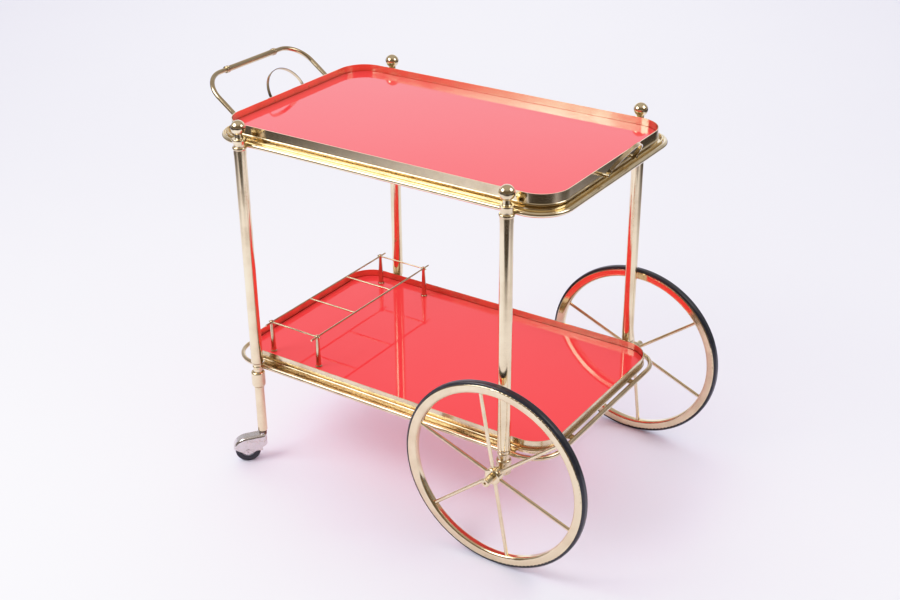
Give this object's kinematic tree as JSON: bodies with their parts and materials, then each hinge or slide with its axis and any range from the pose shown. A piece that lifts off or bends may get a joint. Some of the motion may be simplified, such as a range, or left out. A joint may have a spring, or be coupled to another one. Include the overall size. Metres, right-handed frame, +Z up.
{
  "type": "bar cart",
  "caption": "Two-tier brass bar cart with red glass decks, lift-off tray top, bottle gallery, push handle, large spoked wheels and hooded casters.",
  "frame": {"origin": "on the floor, below the centre of the whole cart's box", "axes": "+X along the cart towards the large spoked wheels, +Y across the cart, +Z up"},
  "size_m": [0.9528, 0.6136, 0.7657],
  "materials": {
    "polished_brass": "polished brass, slightly mellowed",
    "aged_brass": "older, browner brass",
    "red_glass": "glossy back-painted red glass",
    "deck_board": "red lacquered board",
    "black_rubber": "satin black rubber",
    "nickel_plate": "worn nickel plate",
    "dark_steel": "dark plated steel",
    "grey_core": "grey moulded core"
  },
  "bodies": {
    "cart_frame": {"upper_hoop": "polished_brass", "upper_ledge": "aged_brass", "lower_hoop": "polished_brass", "shelf_rails": "aged_brass", "shelf_tabs": "aged_brass", "shelf_screws": "polished_brass", "shelf_rim": "polished_brass", "shelf_board": "deck_board", "shelf_glass": "red_glass", "post_front_left": "polished_brass", "post_front_right": "polished_brass", "post_back_left": "polished_brass", "post_back_right": "polished_brass", "head_front_left": "polished_brass", "head_front_right": "polished_brass", "head_back_left": "polished_brass", "head_back_right": "polished_brass", "finial_front_left": "polished_brass", "finial_front_right": "polished_brass", "finial_back_left": "polished_brass", "finial_back_right": "polished_brass", "boot_front": "polished_brass", "boot_back": "polished_brass", "leg_front": "polished_brass", "leg_back": "polished_brass", "axle_front": "polished_brass", "axle_back": "polished_brass", "axle_cap_front": "polished_brass", "axle_cap_back": "polished_brass", "push_handle": "polished_brass", "grip_sleeve": "polished_brass", "grip_collars": "polished_brass", "gallery_frame": "polished_brass", "gallery_posts": "polished_brass"},
    "serving_tray": {"tray_rim": "polished_brass", "tray_board": "deck_board", "tray_glass": "red_glass", "strap_left": "polished_brass", "strap_right": "polished_brass", "strap_pegs": "polished_brass"},
    "front_wheel": {"tyre_front": "black_rubber", "rim_front": "polished_brass", "spokes_front": "polished_brass", "hub_front": "polished_brass"},
    "back_wheel": {"tyre_back": "black_rubber", "rim_back": "polished_brass", "spokes_back": "polished_brass", "hub_back": "polished_brass"},
    "front_caster": {"hood_front": "nickel_plate", "stem_front": "dark_steel", "pin_front": "nickel_plate"},
    "back_caster": {"hood_back": "nickel_plate", "stem_back": "dark_steel", "pin_back": "nickel_plate"},
    "front_roller": {"roller_front": "black_rubber", "core_front": "grey_core"},
    "back_roller": {"roller_back": "black_rubber", "core_back": "grey_core"}
  },
  "joints": [
    {"name": "tray_lift", "type": "slide", "parent": "cart_frame", "child": "serving_tray", "axis": [0, 0, 1], "range_m": [0, 0.15]},
    {"name": "front_wheel_spin", "type": "hinge", "parent": "cart_frame", "child": "front_wheel", "pos_m": [0.28845, -0.2763, 0.188], "axis": [0, 1, 0], "continuous": true},
    {"name": "back_wheel_spin", "type": "hinge", "parent": "cart_frame", "child": "back_wheel", "pos_m": [0.28845, 0.2763, 0.188], "axis": [0, 1, 0], "continuous": true},
    {"name": "front_caster_swivel", "type": "hinge", "parent": "cart_frame", "child": "front_caster", "pos_m": [-0.29156, -0.243, 0.0634], "axis": [0, 0, 1], "continuous": true},
    {"name": "front_roller_spin", "type": "hinge", "parent": "front_caster", "child": "front_roller", "pos_m": [-0.31569, -0.26551, 0.026], "axis": [0.682, -0.7314, 0], "continuous": true},
    {"name": "back_caster_swivel", "type": "hinge", "parent": "cart_frame", "child": "back_caster", "pos_m": [-0.29156, 0.243, 0.0634], "axis": [0, 0, 1], "continuous": true},
    {"name": "back_roller_spin", "type": "hinge", "parent": "back_caster", "child": "back_roller", "pos_m": [-0.31569, 0.22049, 0.026], "axis": [0.682, -0.7314, 0], "continuous": true}
  ]
}
